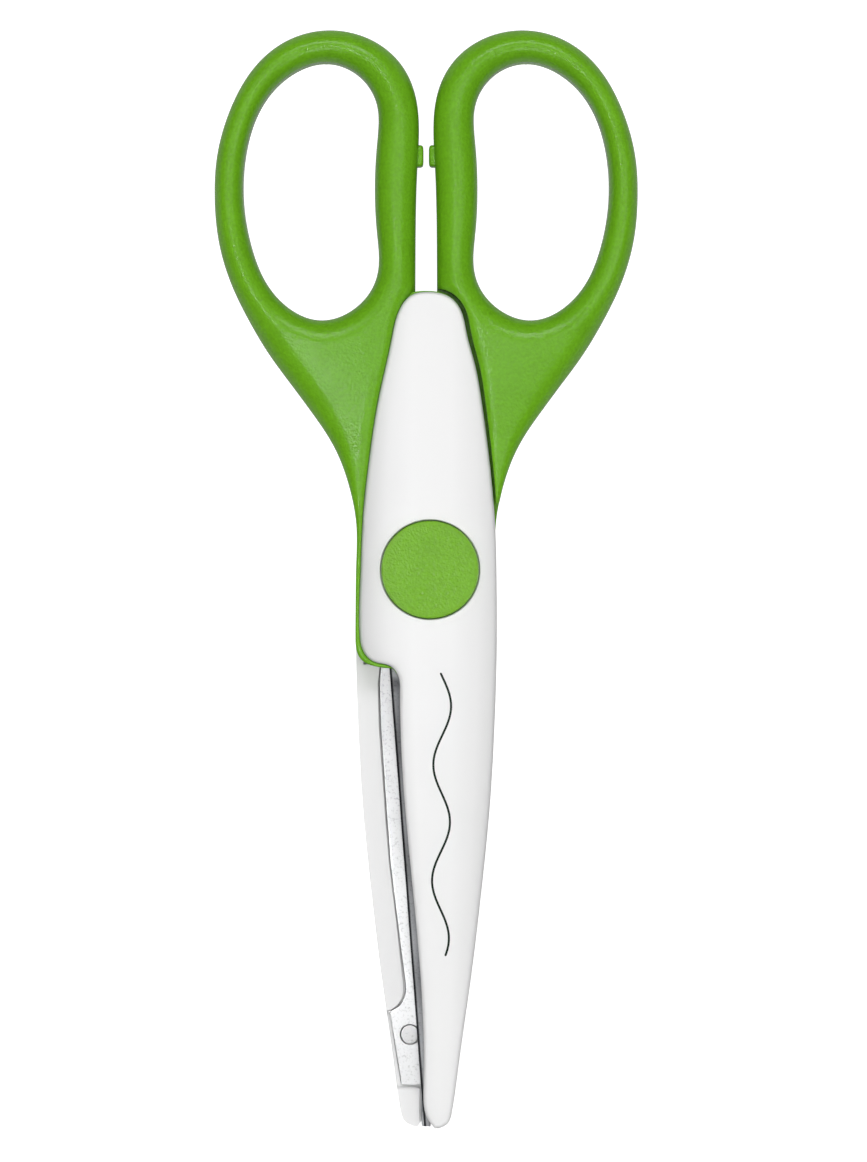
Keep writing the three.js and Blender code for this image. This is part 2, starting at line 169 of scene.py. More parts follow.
class ScissorColours(bpy.types.PropertyGroup):
    """Colours of the finishes."""

    green: FloatVectorProperty(
        name="Green plastic", description="Finger loops and rims", subtype="COLOR",
        default=(0.134, 0.375, 0.010), min=0, max=1)
    cap_green: FloatVectorProperty(
        name="Cap green", description="Caps over the pivot", subtype="COLOR",
        default=(0.150, 0.385, 0.006), min=0, max=1)
    white: FloatVectorProperty(
        name="White plastic", description="Covers", subtype="COLOR",
        default=(0.81, 0.81, 0.81), min=0, max=1)
    steel: FloatVectorProperty(
        name="Blade steel", description="Blades", subtype="COLOR",
        default=(0.62, 0.625, 0.63), min=0, max=1)
    stud: FloatVectorProperty(
        name="Stud metal", description="Studs that hold the blades", subtype="COLOR",
        default=(0.50, 0.50, 0.50), min=0, max=1)
    print_ink: FloatVectorProperty(
        name="Printed line", description="Line that shows the cut on the front cover", subtype="COLOR",
        default=(0.004, 0.011, 0.006), min=0, max=1)
    floor: FloatVectorProperty(
        name="Floor", description="Pale floor under the scissors", subtype="COLOR",
        default=(0.42, 0.42, 0.42), min=0, max=1)


def size(name):
    """A size from the settings, in millimetres."""
    return getattr(bpy.context.scene.scissor_sizes, name) / MM


def colour(name):
    """A colour from the settings."""
    return tuple(getattr(bpy.context.scene.scissor_colours, name))


# ---- lines and heights ----

def smoothstep(value, low, high):
    """3t^2 - 2t^3, with t the value's place between low and high, kept within 0 and 1."""
    t = np.clip((np.asarray(value, float) - low) / (high - low), 0, 1)
    return t * t * (3 - 2 * t)


def lengths(line):
    """Length along a line up to each of its points."""
    return np.concatenate([[0], np.cumsum(np.hypot(*np.diff(line, axis=0).T))])


def resample(line, step):
    """The same line with points at an even distance of about step."""
    at = lengths(line)
    even = np.linspace(0, at[-1], max(3, int(round(at[-1] / step)) + 1))
    return np.column_stack([np.interp(even, at, line[:, k]) for k in (0, 1)])


def spline(points, closed=False):
    """Cubic spline through the points, by chord length, with continuous curvature: each piece is
    a*p0 + b*p1 + ((a^3 - a)*m0 + (b^3 - b)*m1)*h^2/6, and the second derivatives m solve the usual
    three-term equations."""
    p = np.asarray(points, float)
    if closed:
        p = np.vstack([p, p[:1]])
    t = lengths(p)
    h = np.diff(t)
    slope = np.diff(p, axis=0) / h[:, None]
    n = len(p)
    system, right = np.zeros((n, n)), np.zeros((n, 2))
    i = np.arange(1, n - 1)
    system[i, i - 1], system[i, i], system[i, i + 1] = h[:-1], 2 * (h[:-1] + h[1:]), h[1:]
    right[i] = 6 * np.diff(slope, axis=0)
    system[0, 0] = 1
    if closed:
        system[0, -1] = -1
        system[-1, [0, 1, -2, -1]] = 2 * h[0], h[0], h[-1], 2 * h[-1]
        right[-1] = 6 * (slope[0] - slope[-1])
    else:
        system[-1, -1] = 1
    m = np.linalg.solve(system, right)
    s = np.linspace(0, t[-1], 40 * n)
    k = np.clip(np.searchsorted(t, s, side="right") - 1, 0, n - 2)
    a = ((t[k + 1] - s) / h[k])[:, None]
    b = 1 - a
    bend = ((a**3 - a) * m[k] + (b**3 - b) * m[k + 1]) * (h[k] ** 2)[:, None] / 6
    return resample(a * p[k] + b * p[k + 1] + bend, LINE_STEP)


def calm(line, spread, closed=False):
    """The line without small wobbles: 2G - GG, where G is a Gaussian average over the given length.
    The ends of an open line are continued by turning it about them."""
    step = lengths(line)[1]
    reach = int(3 * spread / step)
    kernel = np.exp(-0.5 * (np.arange(-reach, reach + 1) * step / spread) ** 2)
    kernel /= kernel.sum()
    reach = min(reach, len(line) - 2)

    def average(p):
        if closed:
            ring = p[:-1]
            longer = np.vstack([ring[-reach:], ring, ring[: reach + 1]])
        else:
            longer = np.vstack([2 * p[0] - p[reach:0:-1], p, 2 * p[-1] - p[-2 : -reach - 2 : -1]])
        cut = kernel[len(kernel) // 2 - reach : len(kernel) // 2 + reach + 1]
        return np.column_stack([np.convolve(longer[:, k], cut / cut.sum(), "valid") for k in (0, 1)])

    once = average(line)
    return 2 * once - average(once)


def moved_out(line, distance):
    """The line moved to its left by a distance, which may differ from point to point."""
    along = np.gradient(line, axis=0)
    along /= np.hypot(*along.T)[:, None]
    return line + np.column_stack([-along[:, 1], along[:, 0]]) * np.reshape(distance, (-1, 1))


def distance_to(points, line):
    """Distance of each point to the nearest place on a line, by clamping the foot of the
    perpendicular to each segment."""
    start, way = line[:-1], np.diff(line, axis=0)
    square = (way**2).sum(1)
    flat = points.reshape(-1, 2)
    out = np.empty(len(flat))
    batch = 2000
    for first in range(0, len(flat), batch):
        some = flat[first : first + batch, None] - start
        t = np.clip((some * way).sum(2) / square, 0, 1)
        out[first : first + batch] = np.sqrt(((some - t[..., None] * way) ** 2).sum(2).min(1))
    return out.reshape(points.shape[:-1])


def rounding(distance, radius):
    """Drop of a rounded edge: radius - sqrt(radius^2 - (radius - distance)^2), and none beyond it."""
    inside = radius - np.minimum(distance, radius)
    return radius - np.sqrt(np.maximum(radius**2 - inside**2, 0))


def eased_edge(distance, width, depth):
    """Drop of a soft edge, a quarter of an ellipse that wide and deep."""
    return depth * rounding(distance / width, 1.0)


def cosine(count):
    """Steps from 0 to 1 that are finer towards both ends."""
    return (1 - np.cos(np.pi * np.arange(count) / (count - 1))) / 2


def x_at(line, y):
    """x of a line that rises or falls throughout, at each y."""
    order = np.argsort(line[:, 1], kind="stable")
    return np.interp(y, line[order, 1], line[order, 0])


class Outlines:
    """The smooth outlines that the pieces share. The loop's is calmed, and the rim's below it stays as
    its points give it."""

    def __init__(self):
        whole = spline(RIM_LINE + LOOP_LINE)
        soft = calm(whole, 2.2)
        blend = smoothstep(lengths(whole), 22, 30)[:, None]
        self.outer = whole + (soft - whole) * blend
        self.hole = calm(spline(HOLE_LINE, closed=True), 2.0, closed=True)
        self.hole[-1] = self.hole[0]
        self.right = spline(COVER_RIGHT)
        self.left = spline(COVER_LEFT)
        self.cover = np.vstack([self.right, self.left])
        self.seam = moved_out(self.left, SEAM_GAP)
        mirrored = (self.right * (-1, 1))[::-1]
        self.pocket = moved_out(mirrored, POCKET_GAP + POCKET_GROWTH * np.clip(mirrored[:, 1:], 0, 50))


# ---- meshes ----

def placed(points, side):
    """Local points in metres, where the half of that side has them."""
    x, y, u = np.moveaxis(np.asarray(points, float), -1, 0)
    turn = TURN[side]
    return np.stack([turn * x, y, MID_PLANE + turn * u], axis=-1) * MM


def ring_faces(rows, columns, rows_closed=False, columns_closed=True):
    """Quads of a grid of points, whose rows and columns may each run in a ring."""
    i = np.arange(rows if rows_closed else rows - 1)[:, None]
    j = np.arange(columns if columns_closed else columns - 1)[None, :]
    i2, j2 = (i + 1) % rows, (j + 1) % columns
    corners = [i * columns + j, i * columns + j2, i2 * columns + j2, i2 * columns + j]
    return np.stack(corners, -1).reshape(-1, 4)


def end_faces(rows, columns):
    """Quads across the first and the last ring of a grid whose rings go out along one face and come
    back along the other, so that point k lies opposite point columns - 1 - k."""
    k = np.arange(columns // 2 - 1)
    first = np.stack([k, columns - 1 - k, columns - 2 - k, k + 1], -1)
    return np.vstack([first, first[:, ::-1] + (rows - 1) * columns])


def shell(points, faces):
    """A closed shell as (points, faces), with its faces turned outwards: the signed volume, a sixth
    of the sum of a.(b x c) over its triangles, is made positive."""
    p = points.reshape(-1, 3)
    a, b, c, d = (p[faces[:, k]] for k in range(4))
    volume = (a * np.cross(b, c)).sum() + (a * np.cross(c, d)).sum()
    return p, faces if volume > 0 else faces[:, ::-1]


def smooth_shading(mesh):
    """Smooth faces, with the sharper edges kept sharp."""
    mesh.polygons.foreach_set("use_smooth", np.ones(len(mesh.polygons), bool))
    mesh.set_sharp_from_angle(angle=math.radians(SHARP_ANGLE))


def build(name, shells, side):
    """One mesh object from closed shells in the local frame. Points that coincide are merged."""
    points, faces, start = [], [], 0
    for p, f in shells:
        points.append(p)
        faces.append(f + start)
        start += len(p)
    points, faces = placed(np.vstack(points), side), np.vstack(faces)
    mesh = bpy.data.meshes.new(name)
    mesh.vertices.add(len(points))
    mesh.vertices.foreach_set("co", points.ravel())
    mesh.loops.add(faces.size)
    mesh.loops.foreach_set("vertex_index", faces.ravel().astype(np.int32))
    mesh.polygons.add(len(faces))
    mesh.polygons.foreach_set("loop_start", np.arange(len(faces), dtype=np.int32) * 4)
    mesh.update(calc_edges=True)
    work = bmesh.new()
    work.from_mesh(mesh)
    bmesh.ops.remove_doubles(work, verts=work.verts, dist=2e-7)
    bmesh.ops.dissolve_degenerate(work, edges=work.edges, dist=1e-8)
    work.to_mesh(mesh)
    work.free()
    smooth_shading(mesh)
    piece = bpy.data.objects.new(name, mesh)
    bpy.context.scene.collection.objects.link(piece)
    return piece


def local_points(mesh, side):
    """x, y and u of a placed mesh's points, in millimetres in the local frame."""
    points = np.empty(len(mesh.vertices) * 3)
    mesh.vertices.foreach_get("co", points)
    x, y, z = points.reshape(-1, 3).T / MM
    turn = TURN[side]
    return turn * x, y, turn * (z - MID_PLANE)


def store(mesh, name, values):
    """Keeps one number for each point of the mesh, for its material to read."""
    mesh.attributes.new(name, "FLOAT", "POINT").data.foreach_set("value", values.astype(np.float32))


def paint(piece, material):
    """Gives a piece this material only."""
    piece.data.materials.clear()
    piece.data.materials.append(material)


def dress(piece, material, side, slot, *nodes):
    """Gives a piece its material, the body it rides on and the frame's nodes it stands for."""
    paint(piece, material)
    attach(piece, side + "_half")
    if nodes:
        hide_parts(*(side + "_" + node for node in nodes))


def turned(profile, x, y, sides):
    """A round shell about the u axis through (x, y), from a profile of radius and u whose ends lie on
    the axis. The profile is carried round in even steps."""
    r, u = np.asarray(profile, float).T
    turn = np.linspace(0, 2 * np.pi, sides, endpoint=False)[:, None]
    height = np.broadcast_to(u, (sides, len(u)))
    points = np.stack([x + r * np.cos(turn), y + r * np.sin(turn), height], -1)
    return shell(points, ring_faces(sides, len(u), rows_closed=True, columns_closed=False))


def cut(piece, cutter_shell, side):
    """Takes a closed shell away from a piece."""
    cutter = build("cutter", [cutter_shell], side)
    step = piece.modifiers.new("cut", "BOOLEAN")
    step.operation, step.solver, step.object = "DIFFERENCE", "EXACT", cutter
    graph = bpy.context.evaluated_depsgraph_get()
    made = bpy.data.meshes.new_from_object(piece.evaluated_get(graph))
    piece.modifiers.clear()
    old, piece.data = piece.data, made
    bpy.data.meshes.remove(old)
    bpy.data.objects.remove(cutter)
    smooth_shading(made)


# ---- handle ----

def body_height(y):
    """Half thickness of the moulding: the rim's beside the cover, the web's above it, and the loop's
    further up, with smooth steps between them."""
    rim, web, loop = size("rim_half"), size("web_half"), size("loop_half")
    return rim + (web - rim) * smoothstep(y, 1, 17) + (loop - web) * smoothstep(y, 14, 48)


def web_fall(y, outside):
    """The web's face falls away softly over nine millimetres towards the outline."""
    deepest, reach = 0.8, 9
    fall = deepest * (1 - np.clip(outside / reach, 0, 1)) ** 2
    return fall * smoothstep(y, 10, 18) * (1 - smoothstep(y, 34, 44))


def moulded_face(points, lines, beside_line, rounder, softer, width, depth):
    """Height of one face of the moulding: the body's height less a round edge along the outline and
    the finger hole, and a soft edge along the line beside it. The outline's edge grows rounder over
    the first span of y. The soft edge has a width and a depth at the start of the second span, and
    grows by the second number of each until its end."""
    y = points[..., 1]
    outside, inside, beside = (
        distance_to(points, line[::4]) for line in (lines.outer, lines.hole, beside_line))
    radius = RIM_ROUND + (size("loop_round") - RIM_ROUND) * smoothstep(y, *rounder)
    up = smoothstep(y, *softer)
    drop = rounding(outside, radius) + rounding(inside, size("loop_round")) + web_fall(y, outside)
    soft = eased_edge(beside, width[0] + width[1] * up, depth[0] + depth[1] * up)
    return body_height(y) - drop - soft


def handle_top(points, lines):
    """Height of the outer face, which is soft along the cover."""
    return moulded_face(points, lines, lines.seam, (1, 32), (3, 20), (0.3, 1.5), (0.2, 0.75))


def handle_back(points, lines):
    """Height of the face on the other half's side, soft along the pocket for the other cover."""
    return moulded_face(points, lines, lines.pocket, (4, 34), (9, 22), (0.3, 1.3), (0.15, 0.55))


def closed_outline(outer, inner, low):
    """The loop's outline closed along an inner line: up the outer line from its height low, and from
    its gap edge back down the inner line. Returns the line and the corners on it."""
    gap_left = -4
    outer = outer[(outer[:, 1] >= low) | (outer[:, 0] < -13)]
    gap = outer[len(outer) // 2 :]
    gap = gap[(gap[:, 1] > 30) & (gap[:, 0] > gap_left)]
    inner = inner[inner[:, 1] >= low]
    inner = inner[np.argsort(inner[:, 0])]
    reach = np.interp(inner[:, 1], gap[::-1, 1], gap[::-1, 0])
    inner = inner[inner[:, 0] < reach]
    meeting = inner[-1, 1]
    # The outer line's last point is its nearest to that height among those on the gap's side.
    last = np.argmin(np.abs(outer[:, 1] - meeting) + 100 * (outer[:, 0] < gap_left))
    outer = outer[: last + 1]
    corner = np.array([[outer[-1, 0], meeting]])
    bottom = np.array([outer[0], [inner[0, 0], outer[0, 1]]])
    line = np.vstack([outer, corner, inner[::-1], bottom[1:], bottom[:1]])
    return line, np.vstack([corner, bottom])


def polar(points):
    """Angle and radius about the middle of the finger hole; the angle counts from straight down."""
    away = points - HOLE_MIDDLE
    return np.arctan2(away[:, 0], -away[:, 1]), np.hypot(*away.T)


def ray_reach(line, angles):
    """How far out each ray from the middle of the finger hole meets a closed line round it."""
    dense = resample(line, 0.03)
    angle, radius = polar(dense)
    order = np.argsort(angle)
    return np.interp(angles, angle[order], radius[order], period=2 * np.pi)


def handle_slab(lines):
    """Loop and web: a closed profile carried round the finger hole on rays from its middle. On each
    ray it runs from the hole over the outer face to the outline, down past a shelf where the cover's
    side ends, and back over the other face. Rays are spaced evenly by length along all outlines."""
    top_start, back_start, rays = 14.2, 9.9, 430
    top, top_corners = closed_outline(lines.outer, lines.seam, top_start)
    back, back_corners = closed_outline(lines.outer, lines.pocket, back_start)
    fine = np.linspace(-np.pi, np.pi, 16001)
    pace = 0
    for line in (top, back, lines.hole):
        radius = ray_reach(line, fine)
        place = np.column_stack([radius * np.sin(fine), -radius * np.cos(fine)])
        pace = pace + lengths(place)
    even = np.interp(np.linspace(0, pace[-1], rays + 1)[:-1], pace, fine)
    corners = polar(np.vstack([top_corners, back_corners]))[0]
    even = even[np.abs(even[:, None] - corners).min(1) > 0.002]
    angles = np.unique(np.concatenate([even, corners]))
    ways = np.column_stack([np.sin(angles), -np.cos(angles)])
    across = cosine(58)[None, :, None]

    def face(line):
        near = (HOLE_MIDDLE + ways * ray_reach(lines.hole, angles)[:, None])[:, None]
        far = (HOLE_MIDDLE + ways * ray_reach(line, angles)[:, None])[:, None]
        return near + (far - near) * across

    upper, lower = face(top), face(back)
    thinnest = SLIT + 0.2
    high = np.maximum(handle_top(upper, lines), thinnest)
    low = -np.maximum(handle_back(lower, lines), thinnest)
    shelf = SLIT + 0.03
    wall = np.linspace(0, 1, 6)[1:-1]
    outer_wall = high[:, -1:] + (shelf - high[:, -1:]) * wall
    lower_wall = shelf + (low[:, -1:] - shelf) * wall
    hole_wall = low[:, :1] + (high[:, :1] - low[:, :1]) * wall
    n = len(angles)

    def standing(place, heights):
        return np.concatenate([np.repeat(place[:, None], heights.shape[1], 1), heights[..., None]], -1)

    shelf_line = np.full((n, 1), shelf)
    ring = np.concatenate([
        np.concatenate([upper, high[..., None]], -1),
        standing(upper[:, -1], np.hstack([outer_wall, shelf_line])),
        standing(lower[:, -1], np.hstack([shelf_line, lower_wall])),
        np.concatenate([lower, low[..., None]], -1)[:, ::-1],
        standing(upper[:, 0], hole_wall),
    ], axis=1)
    return shell(ring, ring_faces(n, ring.shape[1], rows_closed=True))


def handle_rim(lines):
    """The rim beside the cover: a narrow profile, rounded on its outer edge, carried along the outline
    from the web round the shoulder. Its first millimetres lie just inside the web."""
    outer = lines.outer[lines.outer[:, 1] < 16]
    outer = outer[outer[:, 0] > -13.5][::-1]
    seam = lines.seam[lines.seam[:, 1] < 16]
    seam = seam[(seam[:, 0] < -4.2) & (seam[:, 1] > -15.6)][::-1]

    def measured(line):
        """Length up to where the shoulder starts to turn, and up to each point."""
        at = lengths(line)
        return at[np.argmax(line[:, 1] < -9.5)], at

    out_turn, out_at = measured(outer)
    seam_turn, seam_at = measured(seam)
    s = np.linspace(0, out_at[-1], 260)
    matched = np.interp(s, [0, out_turn, out_at[-1]], [0, seam_turn, seam_at[-1]])
    edge = np.column_stack([np.interp(s, out_at, outer[:, k]) for k in (0, 1)])
    side = np.column_stack([np.interp(matched, seam_at, seam[:, k]) for k in (0, 1)])
    columns = 16
    across = cosine(columns)[None, :, None]
    top = edge[:, None] + (side - edge)[:, None] * across
    tuck = 1 - smoothstep(-top[..., 1], -15.2, -14.2)
    high = handle_top(top, lines) - 0.1 * tuck
    top = top + tuck[..., None] * np.array([0.08, 0.0]) * (1 - across)
    low = np.full((len(s), columns), SLIT + 0.03)
    ring = np.concatenate([
        np.concatenate([top, high[..., None]], -1),
        np.concatenate([top, low[..., None]], -1)[:, ::-1],
    ], axis=1)
    return shell(ring, np.vstack([ring_faces(len(s), 2 * columns), end_faces(len(s), 2 * columns)]))


def tang_plate(lines):
    """The tang between the cover and the other half: a closed profile carried round the pivot, with a
    bore, a recess for the friction washer on its inner face and a seat for the head on its outer one.
    Under the blade's root its outer face is lower."""
    right = lines.right[lines.right[:, 1] > -14.0]
    right = moved_out(right, 1.6 * smoothstep(right[:, 1], 36, 39.5) - 1.4)
    rim = lines.outer[(lines.outer[:, 1] < 8) & (lines.outer[:, 0] > -11.5)]
    rim = moved_out(rim, -0.3)
    web = np.array([(-10.7, 14.0), (-9.3, 26.0), (-6.6, 38.0), (-3.0, 41.3), (-1.2, 41.78)])
    outline = np.vstack([right, [(9.0, -14.1)], rim, web, right[:1]])
    dense = resample(outline, 0.05)
    angle, radius = np.arctan2(dense[:, 1], dense[:, 0]), np.hypot(*dense.T)
    order = np.argsort(angle)
    rays = 360
    turn = np.linspace(-np.pi, np.pi, rays + 1)[:-1]
    reach = np.interp(turn, angle[order], radius[order], period=2 * np.pi)[:, None]
    out = np.linspace(0, 1, 30)
    bore, recess, seat = (np.full((rays, 1), value) for value in (3.08, 5.3, 6.5))
    plate_height, root_drop, recess_floor, seat_floor = 3.4, 2.2, 0.35, 2.6
    inner_r = np.hstack([bore, recess, recess, recess + (reach - recess) * out[1:]])
    inner_u = np.broadcast_to(np.r_[recess_floor, recess_floor, np.full(30, SLIT)], inner_r.shape)
    outer_r = np.hstack([seat + (reach - seat) * out[::-1], seat, bore])
    x, y = outer_r * np.cos(turn)[:, None], outer_r * np.sin(turn)[:, None]
    root = smoothstep(-y, 5.6, 5.9) * smoothstep(x, -6.9, -6.6) * (1 - smoothstep(x, 7.4, 7.7))
    outer_u = plate_height - root_drop * root
    outer_u[:, -2:] = seat_floor
    r, u = np.hstack([inner_r, outer_r]), np.hstack([inner_u, outer_u])
    points = np.stack([r * np.cos(turn)[:, None], r * np.sin(turn)[:, None], u], -1)
    return shell(points, ring_faces(rays, r.shape[1], rows_closed=True))


def stop_bump():
    """The closing stop: a block with rounded edges, a superellipsoid whose sines and cosines are
    raised to a small power."""
    middle_x, middle_y = -1.45, 62.15
    half_x, half_y, half_u = 1.05, 1.65, 2.2
    rows, columns = 40, 21

    def sharp(value):
        return np.sign(value) * np.abs(value) ** 0.35

    turn = np.linspace(0, 2 * np.pi, rows, endpoint=False)[:, None]
    rise = np.linspace(-np.pi / 2, np.pi / 2, columns)[None, :]
    x = middle_x + half_x * sharp(np.cos(rise)) * sharp(np.cos(turn))
    y = middle_y + half_y * sharp(np.cos(rise)) * sharp(np.sin(turn))
    u = half_u * sharp(np.sin(rise)) + 0 * turn
    faces = ring_faces(rows, columns, rows_closed=True, columns_closed=False)
    return shell(np.stack([x, y, u], -1), faces)


# ---- cover ----

def towards_tip(y):
    """0 beside the pivot, and up to 1 at the tip."""
    return smoothstep(-y, 5, 85)


def crown_across(x, y):
    """Place across the cover: 0 on the crown's top line, a little right of the pivot, and about -1 and
    1 at the sides."""
    tip = towards_tip(y)
    return (x - CROWN_X - CROWN_SHIFT * tip) / (CROWN_HALF - CROWN_NARROWING * tip)


def crown_height(x, y):
    """The cover's outside: a parabola across, which sinks and narrows towards the tip."""
    return CROWN_TOP - CROWN_SINK * towards_tip(y) - CROWN_DROP * crown_across(x, y) ** 2


def cover_rows():
    """y of each of the cover's rows, finer at both ends, round the shoulder and at the nose, with two
    rows close together where the inside steps."""
    top_reach, tip_reach, beside = 3.2, 2.6, 0.004
    top = COVER_TOP - top_reach * (1 - np.cos(np.linspace(0, np.pi / 2, 26)))
    tip = COVER_TIP + tip_reach * (1 - np.cos(np.linspace(0, np.pi / 2, 22)))
    steps = [edge + side for edge in (TANG_END, OPEN_START) for side in (beside, -beside)]
    shoulder, nose = np.arange(-16.6, -11.0, 0.08), np.arange(-79.2, -77.2, 0.12)
    between = np.arange(-81, 38.3, 0.45)
    return np.unique(np.concatenate([top, tip, shoulder, nose, steps, between]))[::-1]


def back_edge(r):
    """x of the plate's back edge at distance r from the pivot."""
    return np.interp(r, *np.array(BACK_EDGE).T)


def cover_shell(lines):
    """The cover: rows across, each a closed ring that runs over the crowned outside, down the right
    side, along the flat margin and up into the room for the tang or the blade."""
    y = cover_rows()[:, None]
    n = len(y)
    left = x_at(lines.left, y[:, 0])[:, None]
    right = np.maximum(x_at(lines.right, y[:, 0])[:, None], left)
    x = left + (right - left) * cosine(84)[None, :]
    points = np.stack([x, np.broadcast_to(y, x.shape)], -1)
    edge = distance_to(points, lines.cover[::3])
    high = crown_height(x, y) - rounding(edge, 0.5) - eased_edge(edge, 2.6, 0.45)
    over_tang = y > TANG_END
    near_tip = y < OPEN_START
    open_side = near_tip & (y > NOSE_START)
    tang_room, blade_room, margin_height, wall = 3.5, 2.42, 1.4, 1.1
    floor = np.where(over_tang, tang_room, blade_room)
    nose = 1.35 + eased_edge(np.maximum(NOSE_START - y, 0), 1.1, 0.6)
    margin = np.where(near_tip, nose, margin_height)
    plate = back_edge(np.hypot(y, 5)) + 0.2 + 0.12 * smoothstep(-y, 56, 61)
    beside_plate = np.where(open_side, right - 0.02, np.minimum(plate, right - 0.3))
    step = np.clip(np.where(over_tang, right - wall, beside_plate), left, right)
    down = np.array([[0.4, 0.8, 1.0]])
    inner = np.linspace(1, 0, 12)[None, :]

    def rows(across, height):
        return np.stack(np.broadcast_arrays(across, y, height), -1)

    ring = np.concatenate([
        rows(x, high),
        rows(right, high[:, -1:] + (margin - high[:, -1:]) * down),
        rows(step, margin),
        rows(left + (step - left) * inner, floor),
    ], axis=1)
    return shell(ring, ring_faces(n, ring.shape[1]))


def paint_side_shade(cover, side):
    """Stores the painted shade for the cover's finish. On the outside it is how far each point lies
    towards the cover's sides, from 0 on the crown's top line to 1 at the edge, a little more on the
    left; the finish paints these greyer. The inside has an even value of painted shade, which runs out
    at the nose."""
    x, y, u = local_points(cover.data, side)
    across = crown_across(x, y)
    # Painted shade, from the crown's top line out to the sides, a little darker on the left side.
    outside = np.clip(np.abs(across) + 0.04 * (across < 0), 0, 1)
    # Painted shade on the inside margin, which runs out towards the nose.
    inside = 0.6 * smoothstep(y, -72, -64)
    store(cover.data, "towards_side", np.where(u > 2.5, outside, inside))


def cap_bore():
    """What the cap's hole takes out of the cover: a bore, a groove, a recess and a small flare that
    follows the crown. Each row of the profile holds a radius, a height, and 1 where the height
    counts from the crown."""
    sides = 144
    turn = np.linspace(0, 2 * np.pi, sides, endpoint=False)[:, None]
    profile = np.array([
        (0.0, -1.0, 0), (6.5, -1.0, 0), (6.5, 4.55, 0), (6.9, 4.55, 0), (6.9, 3.8, 0),
        (7.47, 3.8, 0), (7.47, -0.16, 1), (7.49, -0.08, 1), (7.55, -0.02, 1), (7.7, 0.1, 1),
        (7.7, 9.0, 0), (0.0, 9.0, 0),
    ])
    r, u, follows = (profile[:, k][None, :] for k in range(3))
    x, y = CAP_X + r * np.cos(turn), r * np.sin(turn)
    height = np.where(follows > 0, crown_height(x, y) + u, u)
    faces = ring_faces(sides, len(profile), rows_closed=True, columns_closed=False)
    return shell(np.stack([x, y, height], -1), faces)


def printed_wave():
    """The line printed on the front cover: a thin strip on the crown along a sine, with round ends."""
    start, end, swing, length, phase = -15.4, -57.9, 1.29, 17.4, 0.25
    half_width, sunk, raised = 0.165, -0.03, 0.012
    steps = np.linspace(start, end, 420)
    middle = 2.45 - 0.35 * smoothstep(-steps, 15, 60)
    sine = swing * np.sin((steps - start) * -2 * np.pi / length - phase)
    line = np.column_stack([middle + sine, steps])
    at = lengths(line)
    near_end = np.minimum(at, at[-1] - at)
    round_end = np.clip(1 - (1 - np.minimum(near_end / half_width, 1)) ** 2, 1e-4, 1)
    half = half_width * np.sqrt(round_end)
    a, b = moved_out(line, half), moved_out(line, -half)
    ring = np.stack([
        np.column_stack([side, crown_height(side[:, 0], side[:, 1]) + lift])
        for side, lift in ((a, sunk), (a, raised), (b, raised), (b, sunk))
    ], 1)
    return shell(ring, np.vstack([ring_faces(len(steps), 4), end_faces(len(steps), 4)]))


# ---- blade ----

def cutting_edge(r):
    """x where the straight cutting edge crosses the circle of radius r about the pivot."""
    half = CUT_AT_PIVOT * CUT_SLOPE
    square = 1 + CUT_SLOPE**2
    y = (-half - np.sqrt(half**2 - square * (CUT_AT_PIVOT**2 - r**2))) / square
    return CUT_AT_PIVOT + CUT_SLOPE * y


def edge_face(r, across, wave_sign):
    """Height of the blade's inner face: the flat plate's, and within two to three millimetres of the
    cutting edge, less near the tip, the shared wave's, a sine of the distance from the pivot."""
    plate, half_gap = 1.5, 0.1
    phase = 2 * np.pi * (r - WAVE_START) / size("wave_length")
    wave = size("wave_height") * np.sin(phase) * (r > WAVE_START)
    near_tip = smoothstep(r, 67, 75)
    rim = 1 - smoothstep(across, 1.5 - 0.7 * near_tip, 2.8 - 1.15 * near_tip)
    return plate + rim * smoothstep(r, *RIM_START) * (wave_sign * wave + half_gap - plate)


def blade_shell(wave_sign):
    """The blade: rows at even distances from the pivot, closer where the back edge turns, with more
    points in the first three millimetres from the cutting edge. The inner face is the one of
    edge_face, and the outer face is ground down towards the cutting edge."""
    r = np.unique(np.concatenate([
        np.arange(7.5, 83.8, 0.25), [83.8], np.arange(63, 67, 0.1), [77.55, 77.6, 77.65],
    ]))[:, None]
    left = cutting_edge(r)
    right = back_edge(r)
    width = right - left
    near = np.concatenate([np.linspace(0, 3.2, 22), [3.6]])
    near = near[None, :] * np.minimum(1, width / 4.4)
    far = near[:, -1:] + (width - near[:, -1:]) * cosine(14)[None, 1:]
    across = np.hstack([near, far])
    x = left + across
    inner = edge_face(r, across, wave_sign)
    thick = size("blade_thick")
    thinnest, ground_width = 0.25, 1.3
    ground = (1 - smoothstep(across, 0.9, 1.6)) * smoothstep(r, *RIM_START)
    thickness = thick - ground * (thick - thinnest) * np.clip(1 - across / ground_width, 0, 1)
    soft = eased_edge(width - across, 0.15, 0.13)
    y = -np.sqrt(r**2 - x**2)
    upper = np.stack([x, y, inner + thickness - soft], -1)
    lower = np.stack([x, y, inner + soft], -1)[:, ::-1]
    ring = np.concatenate([upper, lower], 1)
    rows, columns = ring.shape[:2]
    return shell(ring, np.vstack([ring_faces(rows, columns), end_faces(rows, columns)]))


def mark_ground_face(blade, side):
    """Stores how far each point lies from the cutting edge on the ground outer face and past the
    plate's end, as 0 at the edge to 1 at three millimetres, and 1 on the rest of the blade. The finish
    uses it for roughness and for painted shade."""
    x, y, u = local_points(blade.data, side)
    r = np.hypot(x, y)
    across = x - cutting_edge(r)
    outside = u > edge_face(r, across, TURN[side]) + 0.12
    # Past the plate's end the narrow strip takes the same painted shade as the ground face.
    past_plate = r > 77.7
    store(blade.data, "from_edge", np.where(outside | past_plate, np.clip(across / 3, 0, 1), 1.0))


